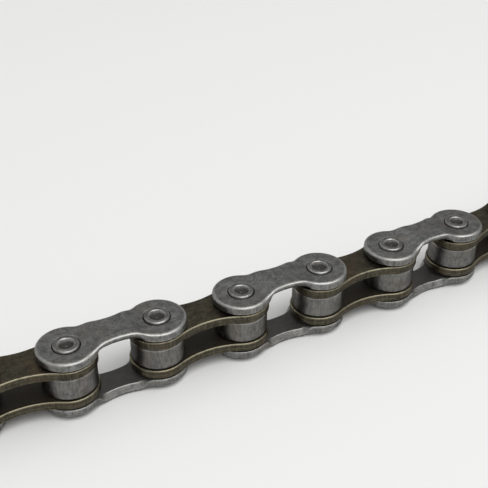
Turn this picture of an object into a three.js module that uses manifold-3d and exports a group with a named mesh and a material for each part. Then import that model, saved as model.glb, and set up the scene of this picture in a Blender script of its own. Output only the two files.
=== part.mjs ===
// A strand of half-inch roller chain, lying on its side with its pins upright.
// Millimetres, +Z up along the pins, +X along the strand. The origin is on the floor, under the
// middle of the strand's bounding box.
//
// Inner links: two inner plates with formed collars, and two rollers that turn on the collars.
// Outer links: two outer plates, bulged in the middle, and the two pins pressed into them. Each
// pin runs through the collars of the inner link beside it, and the chain hinges there.

import * as THREE from 'three';
import { mergeVertices } from 'three/addons/utils/BufferGeometryUtils.js';
import Module from 'manifold-3d';

// ---- Driving dimensions ----

const PITCH = 12.7;
const LINK_COUNT = 15; // odd, and the strand starts and ends with an inner link

const INNER_WIDTH = 3.6; // clear width between the two inner plates
const SIDE_GAP = 0.2; // play between an inner plate and the outer plate over it
const PIN_LENGTH = 9.6;

const INNER_PLATE = { thickness: 1.3, endRadius: 4, waistWidth: 5.2 };
const OUTER_PLATE = { thickness: 1.2, endRadius: 4.05, waistWidth: 4.8 };

// An outer plate's middle bulges away from the chain. The bulge is full as far as its crest and
// gone at its foot, both measured along the plate from its middle.
const BULGE = { height: 0.6, crest: 2.2, foot: 3.9 };

const PIN_RADIUS = 1.825;
const DIMPLE_RIM_RADIUS = 1.15;
const DIMPLE_FLOOR_RADIUS = 0.8;
const DIMPLE_DEPTH = 0.45;

const COLLAR_RADIUS = 2.5;
const COLLAR_HEIGHT = 1.6; // from the plate's inner face

const ROLLER_RADIUS = 3.75;
const ROLLER_LENGTH = 3.45;

const PRESS_GAP = 0.03; // the press fit is drawn this much open, so that the solids stay apart
const RUNNING_GAP = 0.03; // least gap between a pin and the collar that it turns in
const ROLLER_GAP = 0.08; // least gap between a collar and its roller
const CUT_MARGIN = 1; // how far a cutting solid runs past each face of what it cuts

// The strand's gentle bend at rest: the turn at each pin, in degrees, and the first link's heading.
const FIRST_HEADING = -4;
const TURNS = [-1, -1.5, -1, -1, 6, -1, 0, 1, 2, 2, 2, 1, 1, 0];

// Facet counts
const ROUND_SIDES = 16; // pins, bores and collars
const ROLLER_SIDES = 20;
const END_STEPS = 14; // round each plate end
const WAIST_STEPS = 4; // along each side of a plate's waist

// ---- Sizes that follow ----

// A bore of flat facets has to clear the corners of the round piece that turns inside it.
const acrossFlats = (sides) => Math.cos(Math.PI / sides);
const OUTER_BORE_RADIUS = PIN_RADIUS + PRESS_GAP;
const INNER_BORE_RADIUS = (PIN_RADIUS + RUNNING_GAP) / acrossFlats(ROUND_SIDES);
const ROLLER_BORE_RADIUS = (COLLAR_RADIUS + ROLLER_GAP) / acrossFlats(ROLLER_SIDES);

// Distances from the middle plane, and its own height above the floor. The strand lies on the
// bulges of its outer plates.
const INNER_FACE = INNER_WIDTH / 2; // to an inner plate
const OUTER_FACE = INNER_FACE + INNER_PLATE.thickness + SIDE_GAP; // to an outer plate's end
const MIDDLE = OUTER_FACE + OUTER_PLATE.thickness + BULGE.height;

// ---- Materials ----

const steel = (name, color, roughness) =>
  new THREE.MeshStandardMaterial({ name, color, roughness, metalness: 0.9 });

const outerPlateSteel = steel('outer_plate_steel', 0x55565a, 0.45);
const innerPlateSteel = steel('inner_plate_steel', 0x5c5343, 0.5);
const pinSteel = steel('pin_steel', 0x636467, 0.4);
const rollerSteel = steel('roller_steel', 0x4b4b4c, 0.42);

// ---- Solids ----

const wasm = await Module();
wasm.setup();

function toSolid(geometry) {
  const bare = geometry.clone();
  bare.deleteAttribute('normal');
  bare.deleteAttribute('uv');
  const merged = mergeVertices(bare, 1e-4);
  const mesh = new wasm.Mesh({
    numProp: 3,
    vertProperties: new Float32Array(merged.attributes.position.array),
    triVerts: new Uint32Array(merged.index.array),
  });
  return new wasm.Manifold(mesh);
}

function toGeometry(solid) {
  const mesh = solid.getMesh();
  const geometry = new THREE.BufferGeometry();
  geometry.setAttribute('position', new THREE.BufferAttribute(mesh.vertProperties, 3));
  geometry.setIndex(new THREE.BufferAttribute(mesh.triVerts, 1));
  geometry.computeVertexNormals();
  return geometry;
}

// Points along an arc, from one angle towards another, without the last point.
function arc(centreX, centreY, radius, from, to, steps) {
  const points = [];
  for (let step = 0; step < steps; step += 1) {
    const angle = from + ((to - from) * step) / steps;
    points.push(new THREE.Vector2(centreX + radius * Math.cos(angle), centreY + radius * Math.sin(angle)));
  }
  return points;
}

// A plate's outline: two round ends, joined by a hollow arc on each side of the waist.
function plateOutline({ endRadius, waistWidth }) {
  const half = PITCH / 2;
  const waist = waistWidth / 2;
  const hollow = (half ** 2 + waist ** 2 - endRadius ** 2) / (2 * (endRadius - waist));
  const lean = Math.atan2(waist + hollow, half); // where an end meets the hollow arc
  const wrap = Math.PI - lean;
  return [
    ...arc(half, 0, endRadius, -wrap, wrap, END_STEPS),
    ...arc(0, waist + hollow, hollow, -lean, lean - Math.PI, WAIST_STEPS),
    ...arc(-half, 0, endRadius, lean, 2 * Math.PI - lean, END_STEPS),
    ...arc(0, -waist - hollow, hollow, Math.PI - lean, lean, WAIST_STEPS),
  ];
}

function extrude(outline, depth) {
  return new THREE.ExtrudeGeometry(new THREE.Shape(outline), { depth, bevelEnabled: false });
}

const PIN_PLACES = [-PITCH / 2, PITCH / 2];

// A solid with a bore through it at each of the link's two pins.
function bored(solid, radius, height) {
  let result = solid;
  for (const x of PIN_PLACES) {
    const circle = arc(x, 0, radius, 0, 2 * Math.PI, ROUND_SIDES);
    const bore = extrude(circle, height + 2 * CUT_MARGIN);
    bore.translate(0, 0, -CUT_MARGIN);
    result = result.subtract(toSolid(bore));
  }
  return result;
}

// One face of an outer plate, seen from its side: flat at both ends and raised between them.
function bulgedFace(level) {
  const { height, crest, foot } = BULGE;
  const beyond = PITCH; // past the plate's ends
  return [
    new THREE.Vector2(-beyond, level),
    new THREE.Vector2(-foot, level),
    new THREE.Vector2(-crest, level + height),
    new THREE.Vector2(crest, level + height),
    new THREE.Vector2(foot, level),
    new THREE.Vector2(beyond, level),
  ];
}

function outerPlateGeometry() {
  const { thickness } = OUTER_PLATE;
  const slab = extrude([...bulgedFace(0), ...bulgedFace(thickness).reverse()], PITCH);
  slab.rotateX(Math.PI / 2);
  slab.translate(0, PITCH / 2, 0);
  const height = thickness + BULGE.height;
  const blank = extrude(plateOutline(OUTER_PLATE), height + 2 * CUT_MARGIN);
  blank.translate(0, 0, -CUT_MARGIN);
  return toGeometry(bored(toSolid(slab).intersect(toSolid(blank)), OUTER_BORE_RADIUS, height));
}

// A plate with its two collars standing up from the inner face, and a bore through each.
function innerPlateGeometry() {
  let solid = toSolid(extrude(plateOutline(INNER_PLATE), INNER_PLATE.thickness));
  const height = INNER_PLATE.thickness + COLLAR_HEIGHT;
  for (const x of PIN_PLACES) {
    const collar = arc(x, 0, COLLAR_RADIUS, 0, 2 * Math.PI, ROUND_SIDES);
    const collarRoot = extrude(collar, height - INNER_PLATE.thickness / 2);
    collarRoot.translate(0, 0, INNER_PLATE.thickness / 2);
    solid = solid.add(toSolid(collarRoot));
  }
  return toGeometry(bored(solid, INNER_BORE_RADIUS, height));
}

// A profile of [radius, height] points, turned about the Z axis.
function turned(profile, sides) {
  const points = profile.map(([radius, height]) => new THREE.Vector2(radius, height));
  const geometry = new THREE.LatheGeometry(points, sides, Math.PI / 2);
  geometry.rotateX(Math.PI / 2);
  return geometry;
}

function pinGeometry() {
  const profile = [
    [0, 0],
    [PIN_RADIUS, 0],
    [PIN_RADIUS, PIN_LENGTH],
    [DIMPLE_RIM_RADIUS, PIN_LENGTH],
    [DIMPLE_FLOOR_RADIUS, PIN_LENGTH - DIMPLE_DEPTH],
    [0, PIN_LENGTH - DIMPLE_DEPTH],
  ];
  return turned(profile, ROUND_SIDES);
}

function rollerGeometry() {
  const profile = [
    [ROLLER_BORE_RADIUS, 0],
    [ROLLER_RADIUS, 0],
    [ROLLER_RADIUS, ROLLER_LENGTH],
    [ROLLER_BORE_RADIUS, ROLLER_LENGTH],
    [ROLLER_BORE_RADIUS, 0],
  ];
  return turned(profile, ROLLER_SIDES);
}

// ---- Links: each in its own frame, centred between its two pins, +X along the link ----

const GEOMETRIES = {
  outerPlate: outerPlateGeometry(),
  innerPlate: innerPlateGeometry(),
  pin: pinGeometry(),
  roller: rollerGeometry(),
};

function piece(name, geometry, material, x, z, upsideDown = false) {
  const mesh = new THREE.Mesh(geometry, material);
  mesh.name = name;
  mesh.position.set(x, 0, z);
  if (upsideDown) mesh.rotation.x = Math.PI;
  return mesh;
}

function outerLink(name) {
  const link = new THREE.Group();
  const { outerPlate, pin } = GEOMETRIES;
  const pinFoot = MIDDLE - PIN_LENGTH / 2;
  link.add(piece(`${name}_bottom_plate`, outerPlate, outerPlateSteel, 0, MIDDLE - OUTER_FACE, true));
  link.add(piece(`${name}_top_plate`, outerPlate, outerPlateSteel, 0, MIDDLE + OUTER_FACE));
  link.add(piece(`${name}_pin_a`, pin, pinSteel, PIN_PLACES[0], pinFoot));
  link.add(piece(`${name}_pin_b`, pin, pinSteel, PIN_PLACES[1], pinFoot));
  return link;
}

function innerLink(name) {
  const link = new THREE.Group();
  const { innerPlate, roller } = GEOMETRIES;
  const rollerFloor = MIDDLE - ROLLER_LENGTH / 2;
  const outside = INNER_FACE + INNER_PLATE.thickness;
  link.add(piece(`${name}_bottom_plate`, innerPlate, innerPlateSteel, 0, MIDDLE - outside));
  link.add(piece(`${name}_top_plate`, innerPlate, innerPlateSteel, 0, MIDDLE + outside, true));
  link.add(piece(`${name}_roller_a`, roller, rollerSteel, PIN_PLACES[0], rollerFloor));
  link.add(piece(`${name}_roller_b`, roller, rollerSteel, PIN_PLACES[1], rollerFloor));
  return link;
}

// ---- The strand ----

const chain = new THREE.Group();
chain.name = 'roller_chain';
const joint = new THREE.Vector2(0, 0);
let heading = THREE.MathUtils.degToRad(FIRST_HEADING);
for (let index = 0; index < LINK_COUNT; index += 1) {
  const number = Math.floor(index / 2) + 1;
  const link = index % 2 === 0 ? innerLink(`inner_link_${number}`) : outerLink(`outer_link_${number}`);
  const along = new THREE.Vector2(PITCH * Math.cos(heading), PITCH * Math.sin(heading));
  link.position.set(joint.x + along.x / 2, joint.y + along.y / 2, 0);
  link.rotation.z = heading;
  chain.add(link);
  joint.add(along);
  heading += THREE.MathUtils.degToRad(TURNS[index] ?? 0);
}

// Put the origin on the floor under the middle of the strand.
const box = new THREE.Box3().setFromObject(chain, true);
chain.position.set(-(box.min.x + box.max.x) / 2, -(box.min.y + box.max.y) / 2, -box.min.z);

export default chain;
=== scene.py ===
import math
import random

import bmesh
import bpy
from mathutils import Matrix, Vector


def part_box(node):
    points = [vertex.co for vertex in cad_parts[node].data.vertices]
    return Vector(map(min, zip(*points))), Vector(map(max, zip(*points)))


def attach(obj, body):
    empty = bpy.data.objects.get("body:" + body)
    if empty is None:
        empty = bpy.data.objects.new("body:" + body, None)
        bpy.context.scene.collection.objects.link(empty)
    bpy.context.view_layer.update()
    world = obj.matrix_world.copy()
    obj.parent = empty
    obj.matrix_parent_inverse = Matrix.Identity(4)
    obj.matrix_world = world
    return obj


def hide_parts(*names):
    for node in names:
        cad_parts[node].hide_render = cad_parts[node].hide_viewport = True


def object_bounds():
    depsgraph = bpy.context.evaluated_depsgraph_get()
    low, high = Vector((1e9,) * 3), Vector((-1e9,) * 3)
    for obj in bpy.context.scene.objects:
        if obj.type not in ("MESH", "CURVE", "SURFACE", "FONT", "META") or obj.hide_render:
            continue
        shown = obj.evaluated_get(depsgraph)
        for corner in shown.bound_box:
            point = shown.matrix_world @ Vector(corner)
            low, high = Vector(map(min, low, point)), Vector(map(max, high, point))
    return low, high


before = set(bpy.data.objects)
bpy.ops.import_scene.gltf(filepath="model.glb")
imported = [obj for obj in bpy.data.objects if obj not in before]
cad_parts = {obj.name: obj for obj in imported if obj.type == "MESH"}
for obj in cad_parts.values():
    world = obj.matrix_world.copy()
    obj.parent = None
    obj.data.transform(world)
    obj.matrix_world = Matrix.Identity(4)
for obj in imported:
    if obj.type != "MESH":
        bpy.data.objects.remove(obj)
CAD_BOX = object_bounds()

MM = 0.001

# ---- Driving sizes, in millimetres ----

PITCH = 12.7
INNER_PLATE = {
    "inner_face": 1.8,  # from the chain's middle plane
    "thickness": 1.3,
    "end_radius": 3.98,
    "waist_width": 5.18,
    "bulge": 0.0,
}
OUTER_PLATE = {
    "inner_face": 3.3,
    "thickness": 1.2,
    "end_radius": 4.03,
    "waist_width": 4.78,
    "bulge": 0.59,
}
PIN_RADIUS = 1.8
ROLLER_RADIUS = 3.74
ROLLER_BORE = 2.62
COLLAR_RADIUS = 2.5
COLLAR_HEIGHT = 1.6
OUTER_BORE = 1.85
INNER_BORE = 1.89

# Points across a roller's seam, in degrees. Those nearer than SEAM_REACH lie in its groove.
SEAM_POINTS = (-1.4, -0.5, 0.5, 1.4)
SEAM_REACH = 1.0

# The middle of an outer plate bulges away from the chain. It fades out between these distances
# from the plate's middle.
BULGE_ENDS = (2.0, 4.4)

# Coined bevel along the waist of an outer plate's inner face
BEVEL_WIDTH = 0.6
BEVEL_DEPTH = 0.75
BEVEL_ENDS = (2.8, 3.4)  # where it fades out, as for the bulge

# How finely the meshes are divided
END_STEPS = 36
WAIST_STEPS = 12
MIDLINE_STEPS = 6
RIM_STEPS = 6
PIN_SIDES = 48
ROLLER_SIDES = 64
# Rings on a plate's face, as shares of the way from the bore out to the edge
FACE_SHARES = (0.06, 0.18, 0.3, 0.42, 0.54, 0.68, 0.84, 0.96)

INSIDE_GRIME_AND_SHADE = 0.8  # oily film on the faces that look into the chain, and painted shade there
BUMP_DEPTH = 0.03  # how deep the materials' relief is
COORD_SPREAD = 300.0  # how far apart the pieces lie in the space of the textures

SEED = 422

OUTER_LINKS = range(1, 8)
INNER_LINKS = range(1, 9)

# ---- Camera, in millimetres and degrees ----

AIM_OFFSET = (-0.2, 9.8)  # along X and Y, from the middle of the fourth outer link
CAMERA_DISTANCE = 140.4
CAMERA_AZIMUTH = -31.5
CAMERA_ELEVATION = 33.98
CAMERA_ROLL = 0.87
LENS = 69.7
CLIP = (0.005, 50)  # metres

# ---- Floor and light, in metres ----

FLOOR_SIZE = 8.0
FLOOR_COLOUR = (0.85, 0.85, 0.838, 1)

# The sky, as (height, brightness). Height is 0 at the horizon and 1 straight up.
SKY_STOPS = ((0.0, 0.95), (0.12, 0.6), (0.35, 0.4), (0.6, 0.5), (0.9, 1.0))
SKY_STRENGTH = 0.88
SKY_WARMTH = 0.99  # blue against red and green

SOFTBOX_PLACE = (0.1, -0.35, 0.75)
SOFTBOX_SIZE = (0.9, 0.6)
SOFTBOX_POWER = 4.0  # watts


def mix(a, b, share):
    return a + (b - a) * share


def smooth_step(low, high, value):
    share = min(1.0, max(0.0, (value - low) / (high - low)))
    return share * share * (3 - 2 * share)


def centre_of(node):
    low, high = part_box(node)
    return (low + high) / 2


def height_of(node):
    """How tall the node's box is, in millimetres."""
    low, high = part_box(node)
    return (high.z - low.z) / MM


def link_matrix(node_a, node_b):
    """The link's own frame: centred between its two joints at mid height, +X towards joint b."""
    a = centre_of(node_a)
    b = centre_of(node_b)
    middle = (a + b) / 2
    middle.z = (CAD_BOX[0].z + CAD_BOX[1].z) / 2
    heading = math.atan2(b.y - a.y, b.x - a.x)
    return Matrix.Translation(middle) @ Matrix.Rotation(heading, 4, "Z")


# ---- Camera ----


def make_camera():
    left = centre_of("outer_link_4_pin_a")
    right = centre_of("outer_link_4_pin_b")
    target = (left + right) / 2 + Vector((AIM_OFFSET[0] * MM, AIM_OFFSET[1] * MM, 0))
    target.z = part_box("outer_link_4_pin_a")[1].z
    azimuth = math.radians(CAMERA_AZIMUTH)
    elevation = math.radians(CAMERA_ELEVATION)
    back = Vector((
        math.sin(azimuth) * math.cos(elevation),
        -math.cos(azimuth) * math.cos(elevation),
        math.sin(elevation),
    ))
    camera = bpy.data.objects.new("camera", bpy.data.cameras.new("camera"))
    bpy.context.scene.collection.objects.link(camera)
    turn = (-back).to_track_quat("-Z", "Y").to_matrix().to_4x4()
    roll = Matrix.Rotation(math.radians(CAMERA_ROLL), 4, "Z")
    camera.matrix_world = Matrix.Translation(target + back * CAMERA_DISTANCE * MM) @ turn @ roll
    camera.data.lens = LENS
    camera.data.clip_start, camera.data.clip_end = CLIP
    bpy.context.scene.camera = camera


make_camera()


# ---- Meshes ----


class Skin:
    """Rings of points, joined into quads. Each point also holds how worn it is, which also paints a
    highlight, and how dirty it is, which also paints shade.
    """

    def __init__(self):
        self.bm = bmesh.new()
        self.wear = self.bm.verts.layers.float.new("wear")
        self.grime = self.bm.verts.layers.float.new("grime")

    def ring(self, points, wear=0.0, grime=0.0):
        verts = []
        for point in points:
            vert = self.bm.verts.new([value * MM for value in point])
            vert[self.wear] = wear
            vert[self.grime] = grime
            verts.append(vert)
        return verts

    def bridge(self, first, second, closed=True):
        """Quads between two rings, or between two open lines where closed is false."""
        count = len(first) if closed else len(first) - 1
        for index in range(count):
            after = (index + 1) % len(first)
            self.bm.faces.new((first[index], first[after], second[after], second[index]))

    def cap(self, ring, height):
        """Closes a ring with a fan round a point on its axis."""
        middle = self.ring([(0, 0, height)])[0]
        for index, vert in enumerate(ring):
            self.bm.faces.new((vert, ring[(index + 1) % len(ring)], middle))

    def mirror_x(self):
        """Adds the other half of a shape that is cut open at x = 0, and joins the two."""
        everything = list(self.bm.verts) + list(self.bm.edges) + list(self.bm.faces)
        copy = bmesh.ops.duplicate(self.bm, geom=everything)
        for item in copy["geom"]:
            if isinstance(item, bmesh.types.BMVert):
                item.co.x = -item.co.x
        bmesh.ops.remove_doubles(self.bm, verts=self.bm.verts, dist=0.001 * MM)

    def mesh(self, name):
        bmesh.ops.recalc_face_normals(self.bm, faces=self.bm.faces)
        mesh = bpy.data.meshes.new(name)
        self.bm.to_mesh(mesh)
        self.bm.free()
        mesh.shade_smooth()
        return mesh


def arc(centre, radius, start, end, steps, outwards=1):
    """Points along an arc without its last one, each with the direction that leads out of the plate."""
    found = []
    for step in range(steps):
        angle = mix(start, end, step / steps)
        direction = Vector((math.cos(angle), math.sin(angle)))
        found.append((Vector(centre) + direction * radius, direction * outwards))
    return found


def half_outline(plate):
    """The +X half of a plate's outline, from its waist round the end and back to the waist."""
    half = PITCH / 2
    waist = plate["waist_width"] / 2
    radius = plate["end_radius"]
    hollow = (half**2 + waist**2 - radius**2) / (2 * (radius - waist))
    centre = waist + hollow
    lean = math.atan2(centre, half)
    wrap = math.pi - lean
    return [
        *arc((0, -centre), hollow, math.pi / 2, lean, WAIST_STEPS, -1),
        *arc((half, 0), radius, -wrap, wrap, END_STEPS),
        *arc((0, centre), hollow, -lean, -math.pi / 2, WAIST_STEPS, -1),
        (Vector((0, waist)), Vector((0, 1))),
    ]


def edge_points(outline, at_end, at_waist):
    """One line along the plate's edge. at_end and at_waist are (inset, height) there."""
    points = []
    for point, out in outline:
        share = smooth_step(*BEVEL_ENDS, abs(point.x))
        inset = mix(at_waist[0], at_end[0], share)
        height = mix(at_waist[1], at_end[1], share)
        place = point - out * inset
        points.append((place.x, place.y, height))
    return points


def with_midline(points):
    """The edge line, closed along x = 0, where the other half of the plate joins on."""
    start = points[0]
    end = points[-1]
    middle = []
    for step in range(1, MIDLINE_STEPS):
        share = step / MIDLINE_STEPS
        middle.append((0.0, mix(end[1], start[1], share), end[2]))
    return points + middle


def around_hole(angles, radius, height):
    half = PITCH / 2
    return [(half + radius * math.cos(a), radius * math.sin(a), height) for a in angles]


def plate_mesh(name, plate, edge, hole):
    """A plate with its inner face at height 0 and its outer face up.

    edge: from the outer face down to the inner one, (end (inset, height), waist (inset, height),
    worn share with painted highlight, grimy share with painted shade). hole: from the outer face to the
    inner one, (radius, height, worn share with painted highlight, grimy share with painted shade).
    """
    skin = Skin()
    outline = half_outline(plate)
    lines = [edge_points(outline, at_end, at_waist) for at_end, at_waist, _, _ in edge]
    top = with_midline(lines[0])
    bottom = with_midline(lines[-1])
    half = PITCH / 2
    angles = [math.atan2(y, x - half) for x, y, _ in top]

    rings = [skin.ring(line, wear, grime) for line, (_, _, wear, grime) in zip(lines, edge)]
    for first, second in zip(rings, rings[1:]):
        skin.bridge(first, second, closed=False)
    bores = [skin.ring(around_hole(angles, r, z), wear, grime) for r, z, wear, grime in hole]
    for first, second in zip(bores, bores[1:]):
        skin.bridge(first, second)

    for rim, edge_ring, bore, spec, grime in (
        (top, rings[0], bores[0], hole[0], 0.0),
        (bottom, rings[-1], bores[-1], hole[-1], INSIDE_GRIME_AND_SHADE),
    ):
        inner = around_hole(angles, spec[0], spec[1])
        outer = edge_ring + skin.ring(rim[len(edge_ring):], grime=grime)
        previous = bore
        for share in FACE_SHARES:
            between = [Vector(a).lerp(Vector(b), share) for a, b in zip(inner, rim)]
            current = skin.ring(between, grime=grime)
            skin.bridge(previous, current)
            previous = current
        skin.bridge(previous, outer)
    for vert in skin.bm.verts:
        vert.co.z += plate["bulge"] * MM * (1 - smooth_step(*BULGE_ENDS, vert.co.x / MM))
    skin.mirror_x()
    return skin.mesh(name)


def rounded_rim(width, drop):
    """A rounded edge as (inset, depth below the face, worn share), from the face over to the wall. The
    worn share also paints a highlight along the rounding.
    """
    stations = []
    for step in range(RIM_STEPS + 1):
        angle = step / RIM_STEPS * math.pi / 2
        inset = width * (1 - math.sin(angle))
        depth = drop * (1 - math.cos(angle))
        wear = math.sin(2 * angle) ** 0.7  # worn and painted highlight, most in the middle of the rounding
        stations.append((inset, depth, wear))
    return stations


def outer_plate_mesh(name):
    """Rounded and worn on its outer face, with a highlight painted along the rim, and coined along the
    waist on its inner face.
    """
    t = OUTER_PLATE["thickness"]
    edge = [((0.6, t), (0.55, t), 0.0, 0.0)]
    for inset, depth, wear in rounded_rim(0.5, 0.36):
        waist_inset = min(0.85 * inset, 0.4)
        edge.append(((inset, t - depth), (waist_inset, t - 0.75 * depth), wear, 0.0))
    # Along the bevel the worn shares paint highlight lines on its corners besides showing wear; the grimy
    # shares paint shade where it meets the inner face.
    edge += [
        ((0.0, 0.5), (0.0, BEVEL_DEPTH + 0.06), 0.0, 0.2),
        ((0.0, 0.16), (0.01, BEVEL_DEPTH + 0.02), 0.5, 0.2),
        ((0.02, 0.09), (0.04, BEVEL_DEPTH - 0.03), 0.9, 0.1),
        ((0.03, 0.07), (0.1, BEVEL_DEPTH - 0.13), 0.5, 0.0),
        ((0.06, 0.04), (BEVEL_WIDTH - 0.09, 0.13), 0.5, 0.0),
        ((0.08, 0.02), (BEVEL_WIDTH - 0.03, 0.03), 0.9, 0.1),
        ((0.13, 0.005), (BEVEL_WIDTH + 0.02, 0.004), 0.7, 0.2),
        ((0.2, 0.0), (BEVEL_WIDTH + 0.1, 0.0), 0.0, 0.7),
    ]
    # Round the bore the chamfer's edge gets a painted highlight, and deeper down the grimy shares paint
    # the shade of the gap round the pin.
    hole = [
        (2.3, t, 0.0, 0.0),
        (2.06, t - 0.004, 0.4, 0.0),
        (1.97, t - 0.015, 0.3, 0.1),
        (1.91, t - 0.035, 0.1, 0.3),
        (1.87, t - 0.07, 0.0, 0.8),
        (OUTER_BORE, t - 0.14, 0.0, 1.0),
        (OUTER_BORE, 0.12, 0.0, 1.0),
        (1.93, 0.02, 0.0, 1.0),
        (2.05, 0.0, 0.0, 1.0),
    ]
    return plate_mesh(name, OUTER_PLATE, edge, hole)


def inner_plate_mesh(name):
    """Lightly rounded on both faces, with a collar formed round each bore on the inner face."""
    t = INNER_PLATE["thickness"]
    h = COLLAR_HEIGHT
    rim = rounded_rim(0.24, 0.22)
    edge = [((0.3, t), (0.3, t), 0.0, 0.2)]
    edge += [((inset, t - depth), (inset, t - depth), wear, 0.1) for inset, depth, wear in rim]
    # A painted light line over a painted dark line, along a slight step half way down the edge.
    edge += [
        ((0.0, 0.62 * t), (0.0, 0.62 * t), 0.1, 0.1),
        ((0.0, 0.56 * t), (0.0, 0.56 * t), 0.6, 0.1),
        ((0.03, 0.52 * t), (0.03, 0.52 * t), 0.1, 0.7),
        ((0.03, 0.4 * t), (0.03, 0.4 * t), 0.0, 0.3),
    ]
    edge += [((inset, depth), (inset, depth), wear, 0.1) for inset, depth, wear in reversed(rim)]
    edge += [((0.3, 0.0), (0.3, 0.0), 0.0, 0.2)]
    # The bore and the collar under the roller are darkened: grimy, and painted shade.
    hole = [
        (2.3, t, 0.0, 0.8),
        (2.1, t - 0.03, 0.1, 0.9),
        (1.98, t - 0.12, 0.0, 1.0),
        (1.9, t - 0.25, 0.0, 1.0),
        (INNER_BORE, t - 0.5, 0.0, 1.0),
        (INNER_BORE, 0.2 - h, 0.0, 1.0),
        (1.96, 0.08 - h, 0.2, 0.8),
        (2.08, 0.01 - h, 0.3, 0.6),
        (2.3, -h, 0.2, 0.6),
        (2.42, 0.05 - h, 0.3, 0.6),
        (2.48, 0.15 - h, 0.2, 0.8),
        (COLLAR_RADIUS, 0.3 - h, 0.0, 1.0),
        (COLLAR_RADIUS, -0.25, 0.0, 1.0),
        (2.56, -0.08, 0.0, 1.0),
        (2.72, 0.0, 0.0, 0.8),
    ]
    return plate_mesh(name, INNER_PLATE, edge, hole)


def pin_mesh(name, length, rng):
    """A pin standing on its lower end, with a rounded rim and a punched dimple in the upper end."""
    skin = Skin()
    waves = [(count, rng.uniform(0.01, 0.06 / count), rng.uniform(0, math.tau)) for count in (1, 2, 3, 5)]
    depth = rng.uniform(0.45, 0.55)
    dimple = rng.uniform(1.04, 1.16)
    shift = Vector((rng.uniform(-0.08, 0.08), rng.uniform(-0.08, 0.08)))

    def ring(radius, height, wear, grime, uneven=0.0):
        """uneven: how much of the dimple's wavy rim and of its place off centre the ring takes."""
        points = []
        for side in range(PIN_SIDES):
            angle = math.tau * side / PIN_SIDES
            swell = sum(size * math.sin(count * angle + start) for count, size, start in waves)
            r = radius * (1 + uneven * swell)
            points.append((
                r * math.cos(angle) + uneven * shift.x,
                r * math.sin(angle) + uneven * shift.y,
                min(length, height + 0.3 * uneven * swell),
            ))
        return skin.ring(points, wear, grime)

    rim = PIN_RADIUS
    floor = length - depth
    # From the foot up the wall, over the rim, across the end and down into the dimple
    # The worn shares paint highlights on the rim and on the dimple's edge besides showing wear; the grimy
    # shares paint shade on the wall in the gap and on the dimple's floor.
    rings = [
        ring(rim - 0.25, 0.0, 0.3, 0.2),
        ring(rim - 0.12, 0.02, 0.8, 0.1),
        ring(rim - 0.03, 0.09, 0.6, 0.3),
        ring(rim, 0.2, 0.1, 0.8),
        ring(rim, length - 0.42, 0.0, 1.0),
        ring(rim - 0.005, length - 0.31, 0.1, 0.4),
        ring(rim - 0.03, length - 0.23, 0.4, 0.1),
        ring(rim - 0.08, length - 0.15, 0.6, 0.0),
        ring(rim - 0.15, length - 0.08, 0.6, 0.0),
        ring(rim - 0.24, length - 0.045, 0.3, 0.0),
        ring(rim - 0.36, length - 0.028, 0.0, 0.1),
        ring(dimple + 0.24, length - 0.022, 0.0, 0.1, 0.3),
        ring(dimple + 0.11, length - 0.015, 0.4, 0.0, 0.7),
        ring(dimple + 0.04, length - 0.025, 0.9, 0.0, 1.0),
        ring(dimple - 0.02, length - 0.07, 0.9, 0.0, 1.0),
        ring(dimple - 0.1, mix(floor, length, 0.6), 0.6, 0.1, 1.0),
        ring(dimple - 0.2, mix(floor, length, 0.22), 0.3, 0.6, 0.9),
        ring(dimple - 0.3, mix(floor, length, 0.05), 0.0, 1.2, 0.8),
        ring(0.3, floor, 0.0, 1.2, 0.5),
    ]
    for first, second in zip(rings, rings[1:]):
        skin.bridge(first, second)
    skin.cap(rings[0], 0.0)
    skin.cap(rings[-1], floor)
    return skin.mesh(name)


def roller_mesh(name, length, rng):
    """A roller standing on its lower end with its play above it, and a fine seam down its side."""
    skin = Skin()
    length -= rng.uniform(0.02, 0.12)
    seam = rng.uniform(0, math.tau)
    angles = [seam + math.tau * side / ROLLER_SIDES for side in range(ROLLER_SIDES)]
    near_seam = [seam + math.radians(offset) for offset in SEAM_POINTS]
    angles = sorted(angles[1:] + near_seam, key=lambda angle: (angle - seam + 0.1) % math.tau)

    def ring(radius, height, wear, grime, seam_depth=0.0):
        points = []
        for angle in angles:
            off = abs(math.degrees((angle - seam + math.pi) % math.tau - math.pi))
            r = radius - (seam_depth if off < SEAM_REACH else 0)
            points.append((r * math.cos(angle), r * math.sin(angle), height))
        return skin.ring(points, wear, grime)

    outer = ROLLER_RADIUS
    bore = ROLLER_BORE
    # From the bore round the lower edge to the wall: radius, height, worn share (also a painted highlight
    # on the edge), grimy share (also painted shade in the bore), seam's depth
    half_profile = [
        (bore, 0.3, 0, 1.0, 0),
        (bore + 0.04, 0.12, 0, 1.0, 0),
        (bore + 0.14, 0.02, 0.1, 1.0, 0),
        (bore + 0.3, 0.0, 0.1, 0.9, 0),
        (outer - 0.34, 0.0, 0.3, 0.5, 0),
        (outer - 0.22, 0.012, 0.7, 0.3, 0),
        (outer - 0.11, 0.06, 1.0, 0.1, 0.01),
        (outer - 0.04, 0.14, 0.8, 0.1, 0.02),
        (outer - 0.01, 0.25, 0.3, 0.1, 0.03),
        (outer, 0.42, 0.0, 0.1, 0.03),
        (outer, 0.62, 0.0, 0.0, 0.03),
    ]
    profile = half_profile + [(r, length - z, w, g, s) for r, z, w, g, s in reversed(half_profile)]
    rings = [ring(*station) for station in profile]
    for first, second in zip(rings, rings[1:] + rings[:1]):
        skin.bridge(first, second)
    return skin.mesh(name)


# ---- Materials ----


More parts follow.
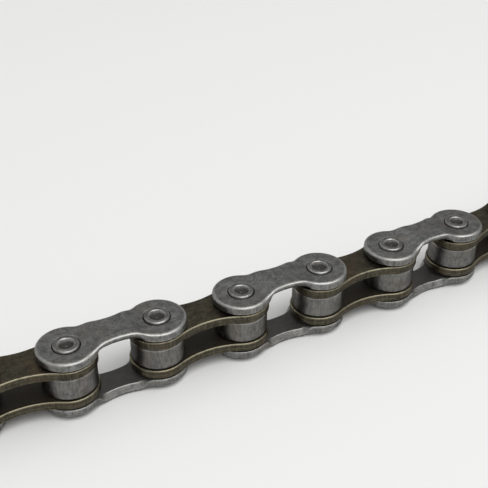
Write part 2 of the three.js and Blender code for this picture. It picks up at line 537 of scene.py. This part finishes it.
class Nodes:
    """A material's nodes, added one at a time."""

    def __init__(self, name):
        self.material = bpy.data.materials.new(name)
        self.material.use_nodes = True
        self.tree = self.material.node_tree
        self.tree.nodes.clear()

    def add(self, kind, inputs=None, **settings):
        node = self.tree.nodes.new(kind)
        for key, value in settings.items():
            setattr(node, key, value)
        self.connect(node, inputs or {})
        return node

    def connect(self, node, inputs):
        """Links an input to another node's output, or sets it to a plain value."""
        for key, value in inputs.items():
            if isinstance(value, bpy.types.NodeSocket):
                self.tree.links.new(value, node.inputs[key])
            else:
                node.inputs[key].default_value = value

    def math(self, operation, a, b=0.0, clamp=False):
        inputs = {0: a, 1: b}
        return self.add("ShaderNodeMath", inputs, operation=operation, use_clamp=clamp).outputs[0]

    def weighted(self, a, share_a, b, share_b):
        """The sum of a and b, each times its share."""
        return self.math("ADD", self.math("MULTIPLY", a, share_a), self.math("MULTIPLY", b, share_b))

    def noise(self, coords, scale, detail, roughness, distortion=0.0):
        inputs = {
            "Vector": coords,
            "Scale": scale,
            "Detail": detail,
            "Roughness": roughness,
            "Distortion": distortion,
        }
        return self.add("ShaderNodeTexNoise", inputs).outputs["Fac"]

    def remap(self, value, low, high, to_low=0.0, to_high=1.0):
        inputs = {
            "Value": value,
            "From Min": low,
            "From Max": high,
            "To Min": to_low,
            "To Max": to_high,
        }
        return self.add("ShaderNodeMapRange", inputs, interpolation_type="SMOOTHSTEP").outputs[0]

    def blend(self, factor, a, b):
        """A colour between a and b."""
        a, b = (c if isinstance(c, bpy.types.NodeSocket) else (*c, 1.0) for c in (a, b))
        node = self.add("ShaderNodeMix", data_type="RGBA")
        self.connect(node, {0: factor, 6: a, 7: b})
        return node.outputs[2]

    def stretched(self, coords, turn, stretch):
        """coords turned about Z by turn degrees and then stretched."""
        inputs = {"Vector": coords, "Rotation": (0, 0, math.radians(turn)), "Scale": stretch}
        return self.add("ShaderNodeMapping", inputs).outputs[0]

    def attribute(self, name):
        return self.add("ShaderNodeAttribute", attribute_name=name).outputs["Fac"]

    def finished(self, shader):
        """The material, with the shader on its surface."""
        self.add("ShaderNodeOutputMaterial", {"Surface": shader.outputs[0]})
        return self.material


def piece_coords(nodes):
    """The piece's own coordinates in millimetres, shifted so that no two pieces look the same."""
    own = nodes.add("ShaderNodeTexCoord").outputs["Object"]
    scaled = nodes.add(
        "ShaderNodeVectorMath", {0: own, "Scale": 1 / MM}, operation="SCALE"
    ).outputs[0]
    chance = nodes.add("ShaderNodeObjectInfo").outputs["Random"]
    shift = nodes.math("MULTIPLY", chance, COORD_SPREAD)
    return nodes.add("ShaderNodeVectorMath", {0: scaled, 1: shift}, operation="ADD").outputs[0]


def scratches(nodes, coords, turn, density, threshold):
    """Thin straight scratches in one direction."""
    lines = nodes.noise(nodes.stretched(coords, turn, (0.35, density, density)), 1.0, 2.0, 0.6)
    return nodes.remap(lines, threshold, threshold + 0.04)


def steel(name, look):
    """Used, oiled steel: mottled, scratched, bright where it rubs, with a highlight painted on its rims,
    and dark where it is dirty, with shade painted in its hollows.

    Flat faces are speckled and scratched. Walls that stand up along the pins are streaked, as
    sheared and drawn surfaces are.
    """
    nodes = Nodes(name)
    coords = piece_coords(nodes)
    wear = nodes.attribute("wear")
    grime = nodes.attribute("grime")
    facing = nodes.add("ShaderNodeNewGeometry").outputs["Normal"]
    upright = nodes.add("ShaderNodeSeparateXYZ", {0: facing}).outputs["Z"]
    wall = nodes.remap(nodes.math("ABSOLUTE", upright), 0.35, 0.8, 1.0, 0.0)

    broad = nodes.noise(coords, 0.22, 3.0, 0.6)
    medium = nodes.noise(coords, 1.1, 4.0, 0.62, 0.4)
    fine = nodes.noise(coords, 4.2, 4.0, 0.72)
    grain = nodes.noise(coords, 18.0, 2.0, 0.6)
    streaks = nodes.noise(nodes.stretched(coords, 0, (4.0, 4.0, 0.6)), 1.0, 4.0, 0.65, 0.3)
    turn = look["scratch_turn"]
    marks = nodes.math(
        "MAXIMUM",
        scratches(nodes, coords, turn, 7.0, 0.64),
        scratches(nodes, coords, turn + 63, 9.0, 0.67),
    )

    speckle = nodes.weighted(fine, 0.6, grain, 0.4)
    sheared = nodes.weighted(streaks, 0.65, fine, 0.35)
    texture = nodes.add("ShaderNodeMix", {0: wall, 2: speckle, 3: sheared}, data_type="FLOAT").outputs[0]
    tone = nodes.weighted(medium, 0.35, texture, 0.65)
    body = nodes.blend(nodes.remap(tone, 0.38, 0.61), look["dark"], look["light"])
    tinted = nodes.blend(nodes.remap(broad, 0.45, 0.68, 0, look["tint_share"]), body, look["tint"])
    marked = nodes.blend(nodes.math("MULTIPLY", marks, look["scratch"]), tinted, look["bright"])

    # Worn brightness on rims, which also paints their highlight
    ragged = nodes.math("MULTIPLY", nodes.remap(tone, 0.3, 0.62, 0.3, 1.2), wear)
    rubbed_and_highlit = nodes.remap(ragged, 0.15, 0.9, 0, look["rub_and_highlight"])
    bright = nodes.blend(rubbed_and_highlit, marked, look["bright"])
    # Darkening from grime and from tone, which also paints shade in hollows and gaps
    dirt_and_shade = nodes.remap(nodes.math("ADD", grime, nodes.math("MULTIPLY", tone, 0.6)), 0.55, 1.15)
    colour = nodes.blend(nodes.math("MULTIPLY", dirt_and_shade, look["dirt_and_shade"]), bright, look["oil_and_shade"])

    spread = nodes.math("MULTIPLY", nodes.math("SUBTRACT", medium, 0.5), look["rough_spread"])
    rough = nodes.math("ADD", spread, look["rough"])
    rough = nodes.math("ADD", rough, nodes.math("MULTIPLY", dirt_and_shade, 0.12))
    rough = nodes.math("SUBTRACT", rough, nodes.math("MULTIPLY", rubbed_and_highlit, 0.06), clamp=True)

    relief = nodes.weighted(texture, 0.8, medium, 0.5)
    relief = nodes.math("SUBTRACT", relief, nodes.math("MULTIPLY", marks, 0.4))
    bump = nodes.add(
        "ShaderNodeBump", {"Height": relief, "Strength": look["bump"], "Distance": BUMP_DEPTH * MM}
    ).outputs[0]
    metal = nodes.math("SUBTRACT", 1.0, nodes.math("MULTIPLY", dirt_and_shade, 0.5))

    shader = nodes.add("ShaderNodeBsdfPrincipled", {
        "Base Color": colour,
        "Metallic": metal,
        "Roughness": rough,
        "Normal": bump,
        "Specular Tint": look["edge_tint"],
        "Coat Weight": look["coat"],
        "Coat Roughness": 0.28,
    })
    return nodes.finished(shader)


OUTER_LOOK = {
    "dark": (0.098, 0.099, 0.096),
    "light": (0.255, 0.256, 0.248),
    "tint": (0.19, 0.165, 0.14),
    "tint_share": 0.4,
    # colour of scratches, of worn rims and of the highlight painted on them
    "bright": (0.4, 0.395, 0.375),
    # dark colour of grime and of painted shade
    "oil_and_shade": (0.035, 0.032, 0.028),
    # how much worn brightness and painted highlight the rims get
    "rub_and_highlight": 0.85,
    "scratch": 0.35,
    "scratch_turn": 12,
    # how strongly grime and painted shade darken
    "dirt_and_shade": 0.75,
    "rough": 0.43,
    "rough_spread": 0.3,
    "bump": 0.6,
    "coat": 0.05,
    "edge_tint": (0.6, 0.6, 0.6, 1),
}
INNER_LOOK = {
    **OUTER_LOOK,
    "dark": (0.035, 0.031, 0.022),
    "light": (0.1, 0.09, 0.064),
    "tint": (0.1, 0.068, 0.045),
    "tint_share": 0.5,
    "bright": (0.33, 0.3, 0.21),
    "oil_and_shade": (0.02, 0.017, 0.012),
    "rub_and_highlight": 0.65,
    "scratch": 0.15,
    "scratch_turn": -20,
    "rough": 0.4,
}
ROLLER_LOOK = {
    **OUTER_LOOK,
    "dark": (0.1, 0.099, 0.095),
    "light": (0.215, 0.211, 0.2),
    "tint": (0.13, 0.11, 0.085),
    "tint_share": 0.4,
    "rub_and_highlight": 0.8,
    "scratch": 0.12,
    "rough": 0.36,
    "rough_spread": 0.25,
    "bump": 0.4,
    "edge_tint": (0.35, 0.35, 0.35, 1),
}
PIN_LOOK = {
    **OUTER_LOOK,
    "dark": (0.11, 0.111, 0.108),
    "light": (0.24, 0.24, 0.233),
    "bright": (0.45, 0.445, 0.425),
    # strong, for the dark dimple floors: grime and painted shade
    "dirt_and_shade": 0.95,
    "rough": 0.34,
    "bump": 0.7,
}

MATERIALS = {
    "outer_plate": steel("outer_plate_steel", OUTER_LOOK),
    "inner_plate": steel("inner_plate_steel", INNER_LOOK),
    "roller": steel("roller_steel", ROLLER_LOOK),
    "pin": steel("pin_steel", PIN_LOOK),
}


# ---- The chain: one piece for each CAD node ----


def add_piece(node, body, slot, mesh, place):
    """A finished piece that takes the place of one CAD node and moves with its body."""
    mesh.transform(place)
    mesh.materials.append(MATERIALS[slot])
    piece = bpy.data.objects.new(node + "_piece", mesh)
    bpy.context.scene.collection.objects.link(piece)
    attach(piece, body)
    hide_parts(node)


def add_plates(name, link, plate, make_mesh, slot):
    """A link's top and bottom plate. The bottom one is the top one, turned over."""
    lift = Matrix.Translation((0, 0, plate["inner_face"] * MM))
    over = Matrix.Rotation(math.pi, 4, "X")
    for part, place in (("top_plate", link @ lift), ("bottom_plate", link @ over @ lift)):
        node = f"{name}_{part}"
        add_piece(node, name, slot, make_mesh(node), place)


def add_upright(node, body, link, make_mesh, slot, rng):
    """A pin or a roller, standing on the foot of its node and turned with its link."""
    foot = centre_of(node)
    foot.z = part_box(node)[0].z
    place = Matrix.Translation(foot) @ link.to_3x3().to_4x4()
    add_piece(node, body, slot, make_mesh(node, height_of(node), rng), place)


def make_outer_link(number, rng):
    name = f"outer_link_{number}"
    pins = (f"{name}_pin_a", f"{name}_pin_b")
    link = link_matrix(*pins)
    add_plates(name, link, OUTER_PLATE, outer_plate_mesh, "outer_plate")
    for pin in pins:
        add_upright(pin, name, link, pin_mesh, "pin", rng)


def make_inner_link(number, rng):
    """An inner link. Each of its rollers is a body of its own."""
    name = f"inner_link_{number}"
    rollers = (f"{name}_roller_a", f"{name}_roller_b")
    link = link_matrix(*rollers)
    add_plates(name, link, INNER_PLATE, inner_plate_mesh, "inner_plate")
    for roller in rollers:
        add_upright(roller, roller, link, roller_mesh, "roller", rng)


chance = random.Random(SEED)
for link_number in OUTER_LINKS:
    make_outer_link(link_number, chance)
for link_number in INNER_LINKS:
    make_inner_link(link_number, chance)


# ---- Floor, light and backdrop ----


def make_floor():
    mesh = bpy.data.meshes.new("floor")
    half = FLOOR_SIZE / 2
    corners = [(-half, -half, 0), (half, -half, 0), (half, half, 0), (-half, half, 0)]
    mesh.from_pydata(corners, [], [(0, 1, 2, 3)])
    floor = bpy.data.objects.new("floor", mesh)
    floor.location.z = CAD_BOX[0].z
    bpy.context.scene.collection.objects.link(floor)
    nodes = Nodes("floor_sheet")
    shader = nodes.add("ShaderNodeBsdfPrincipled", {
        "Base Color": FLOOR_COLOUR,
        "Roughness": 0.7,
        "Specular IOR Level": 0.3,
    })
    mesh.materials.append(nodes.finished(shader))


def make_sky():
    """Soft studio surroundings: bright overhead and at the horizon, dimmer between them."""
    world = bpy.data.worlds.new("studio")
    bpy.context.scene.world = world
    world.use_nodes = True
    tree = world.node_tree
    background = tree.nodes["Background"]
    coords = tree.nodes.new("ShaderNodeTexCoord")
    split = tree.nodes.new("ShaderNodeSeparateXYZ")
    ramp = tree.nodes.new("ShaderNodeValToRGB")
    tree.links.new(coords.outputs["Generated"], split.inputs[0])
    tree.links.new(split.outputs["Z"], ramp.inputs[0])
    tree.links.new(ramp.outputs[0], background.inputs[0])
    elements = ramp.color_ramp.elements
    elements[0].position = SKY_STOPS[0][0]
    elements[1].position = SKY_STOPS[-1][0]
    for position, _ in SKY_STOPS[1:-1]:
        elements.new(position)
    for element, (_, level) in zip(elements, SKY_STOPS):
        element.color = (level, level, level * SKY_WARMTH, 1)
    background.inputs["Strength"].default_value = SKY_STRENGTH


def add_softbox(name, place, size, power):
    """A rectangular lamp that looks at the origin, under the strand's middle."""
    light = bpy.data.lights.new(name, "AREA")
    light.shape = "RECTANGLE"
    light.size, light.size_y = size
    light.energy = power
    lamp = bpy.data.objects.new(name, light)
    lamp.location = place
    lamp.rotation_euler = (-Vector(place)).to_track_quat("-Z", "Y").to_euler()
    bpy.context.scene.collection.objects.link(lamp)


make_floor()
make_sky()
add_softbox("overhead", SOFTBOX_PLACE, SOFTBOX_SIZE, SOFTBOX_POWER)

bpy.context.scene.view_settings.view_transform = "Standard"
